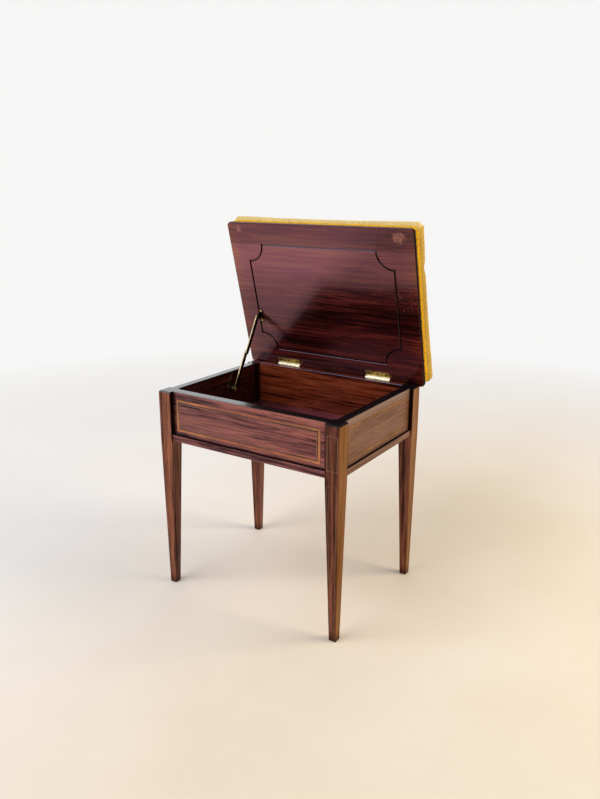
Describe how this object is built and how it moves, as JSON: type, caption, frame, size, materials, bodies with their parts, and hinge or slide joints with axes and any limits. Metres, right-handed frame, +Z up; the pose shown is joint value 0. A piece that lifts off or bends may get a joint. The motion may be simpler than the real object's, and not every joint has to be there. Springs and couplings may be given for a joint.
{
  "type": "piano stool",
  "caption": "Piano stool on square tapered legs: an upholstered lid on brass hinges opens over a music compartment and is held up by a folding stay.",
  "frame": {"origin": "on the floor under the middle of the overall box, with the lid open", "axes": "+Z up, +X to the right along the front, +Y to the back"},
  "size_m": [0.4742, 0.3976, 0.8066],
  "materials": {
    "mahogany": "French polished, glossy, dark red-brown with streaked grain",
    "satinwood": "polished flush with the wood around it, golden orange",
    "boxwood": "polished flush with the wood around it, tan",
    "brass": "aged, lacquer worn off the edges",
    "seat_fabric": "woven, dull gold",
    "braid": "woven gimp, bright gold",
    "stuffing": "loose fibre under the cover"
  },
  "bodies": {
    "frame": {"leg_front_left": "mahogany", "leg_front_right": "mahogany", "leg_back_left": "mahogany", "leg_back_right": "mahogany", "apron_front": "mahogany", "apron_left": "mahogany", "apron_right": "mahogany", "apron_back": "mahogany", "rail_front": "mahogany", "rail_back": "mahogany", "rail_left": "mahogany", "rail_right": "mahogany", "compartment_floor": "mahogany", "apron_front_band": "satinwood", "apron_left_band": "satinwood", "apron_right_band": "satinwood", "apron_front_line": "boxwood", "apron_left_line": "boxwood", "apron_right_line": "boxwood", "leg_stringing_left": "boxwood", "leg_stringing_right": "boxwood", "hinge_left_box_leaf": "brass", "hinge_right_box_leaf": "brass", "hinge_left_pin": "brass", "hinge_right_pin": "brass", "hinge_box_screws": "brass", "stay_box_plate": "brass", "stay_box_screws": "brass", "stay_box_pin": "brass"},
    "lid": {"lid_board": "mahogany", "seat_stuffing": "stuffing", "seat_cover": "seat_fabric", "seat_braid": "braid", "hinge_left_lid_leaf": "brass", "hinge_right_lid_leaf": "brass", "hinge_lid_screws": "brass", "stay_lid_bracket": "brass", "stay_lid_screws": "brass", "stay_lid_pin": "brass"},
    "upper_arm": {"stay_upper_arm": "brass", "stay_elbow_rivet": "brass"},
    "lower_arm": {"stay_lower_arm": "brass"}
  },
  "joints": [
    {"name": "lid_hinge", "type": "hinge", "parent": "frame", "child": "lid", "pos_m": [0, 0.14738, 0.4562], "axis": [1, 0, 0], "range_deg": [0, 75.4]},
    {"name": "stay_upper_pivot", "type": "hinge", "parent": "lid", "child": "upper_arm", "pos_m": [-0.18615, 0.10857, 0.57423], "axis": [1, 0, 0], "range_deg": [0, 27.6]},
    {"name": "stay_lower_pivot", "type": "hinge", "parent": "frame", "child": "lower_arm", "pos_m": [-0.18895, 0.02038, 0.4135], "axis": [1, 0, 0], "range_deg": [-55.5, 0]}
  ],
  "couplings": [
    {"joint": "stay_upper_pivot", "follows": "lid_hinge", "ratio": 0.36375},
    {"joint": "stay_lower_pivot", "follows": "lid_hinge", "ratio": -0.73135}
  ]
}
